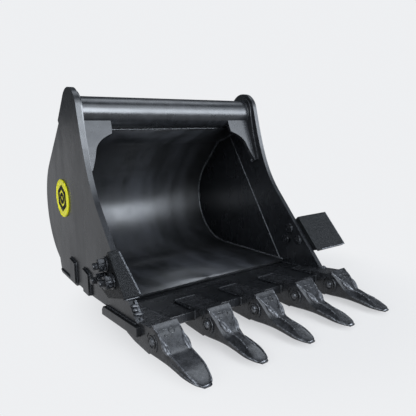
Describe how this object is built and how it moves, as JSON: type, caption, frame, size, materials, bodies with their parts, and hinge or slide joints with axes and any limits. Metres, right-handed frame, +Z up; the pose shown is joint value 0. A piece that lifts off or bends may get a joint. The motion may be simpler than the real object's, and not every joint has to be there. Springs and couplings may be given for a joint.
{
  "type": "excavator bucket",
  "caption": "Welded digging bucket for an excavator: curved bowl, torsion tube, thick lip with pinned teeth, bolted side cutters and twin pin ears at the back.",
  "frame": {"origin": "on the ground under the flat of the middle heel bar, in the middle plane of the bucket", "axes": "+X across the bucket to its right, +Y backwards from the teeth to the heel, +Z up; the teeth point to -Y"},
  "size_m": [1.347, 1.63, 0.975],
  "materials": {
    "black_paint": "semi-gloss black paint",
    "cast_steel": "black painted casting",
    "fastener_steel": "black oxide",
    "bush_bronze": "machined",
    "badge_yellow": "gloss paint"
  },
  "bodies": {
    "bucket": {"side_bar_left": "black_paint", "cheek_plate_left": "black_paint", "heel_strip_left": "black_paint", "side_pad_rear_left": "black_paint", "side_pad_front_left": "black_paint", "side_bar_right": "black_paint", "cheek_plate_right": "black_paint", "heel_strip_right": "black_paint", "side_pad_rear_right": "black_paint", "side_pad_front_right": "black_paint", "wrapper": "black_paint", "torsion_tube": "black_paint", "lip_plate": "black_paint", "lobe_doubler_left": "black_paint", "corner_gusset_left": "black_paint", "lobe_doubler_right": "black_paint", "corner_gusset_right": "black_paint", "heel_bar_1": "black_paint", "heel_bar_2": "black_paint", "heel_bar_3": "black_paint", "stick_boss_left": "black_paint", "stick_bush_left": "bush_bronze", "link_boss_left": "black_paint", "link_bush_left": "bush_bronze", "ear_left": "black_paint", "stick_boss_right": "black_paint", "stick_bush_right": "bush_bronze", "link_boss_right": "black_paint", "link_bush_right": "bush_bronze", "ear_right": "black_paint", "adapter_1": "cast_steel", "tooth_1": "cast_steel", "adapter_2": "cast_steel", "tooth_2": "cast_steel", "adapter_3": "cast_steel", "tooth_3": "cast_steel", "adapter_4": "cast_steel", "tooth_4": "cast_steel", "adapter_5": "cast_steel", "tooth_5": "cast_steel", "side_cutter_right": "cast_steel", "side_cutter_left": "cast_steel", "cutter_bolt_1_left": "fastener_steel", "cutter_nut_1_left": "fastener_steel", "cutter_bolt_2_left": "fastener_steel", "cutter_nut_2_left": "fastener_steel", "cutter_bolt_3_left": "fastener_steel", "cutter_nut_3_left": "fastener_steel", "cutter_bolt_1_right": "fastener_steel", "cutter_nut_1_right": "fastener_steel", "cutter_bolt_2_right": "fastener_steel", "cutter_nut_2_right": "fastener_steel", "cutter_bolt_3_right": "fastener_steel", "cutter_nut_3_right": "fastener_steel", "side_badge": "badge_yellow"},
    "pin_1": {"tooth_pin_1": "fastener_steel"},
    "pin_2": {"tooth_pin_2": "fastener_steel"},
    "pin_3": {"tooth_pin_3": "fastener_steel"},
    "pin_4": {"tooth_pin_4": "fastener_steel"},
    "pin_5": {"tooth_pin_5": "fastener_steel"}
  },
  "joints": [
    {"name": "tooth_pin_1_slide", "type": "slide", "parent": "bucket", "child": "pin_1", "axis": [1, 0, 0], "range_m": [0, 0.106]},
    {"name": "tooth_pin_2_slide", "type": "slide", "parent": "bucket", "child": "pin_2", "axis": [1, 0, 0], "range_m": [0, 0.106]},
    {"name": "tooth_pin_3_slide", "type": "slide", "parent": "bucket", "child": "pin_3", "axis": [1, 0, 0], "range_m": [0, 0.106]},
    {"name": "tooth_pin_4_slide", "type": "slide", "parent": "bucket", "child": "pin_4", "axis": [1, 0, 0], "range_m": [0, 0.106]},
    {"name": "tooth_pin_5_slide", "type": "slide", "parent": "bucket", "child": "pin_5", "axis": [1, 0, 0], "range_m": [0, 0.106]}
  ]
}
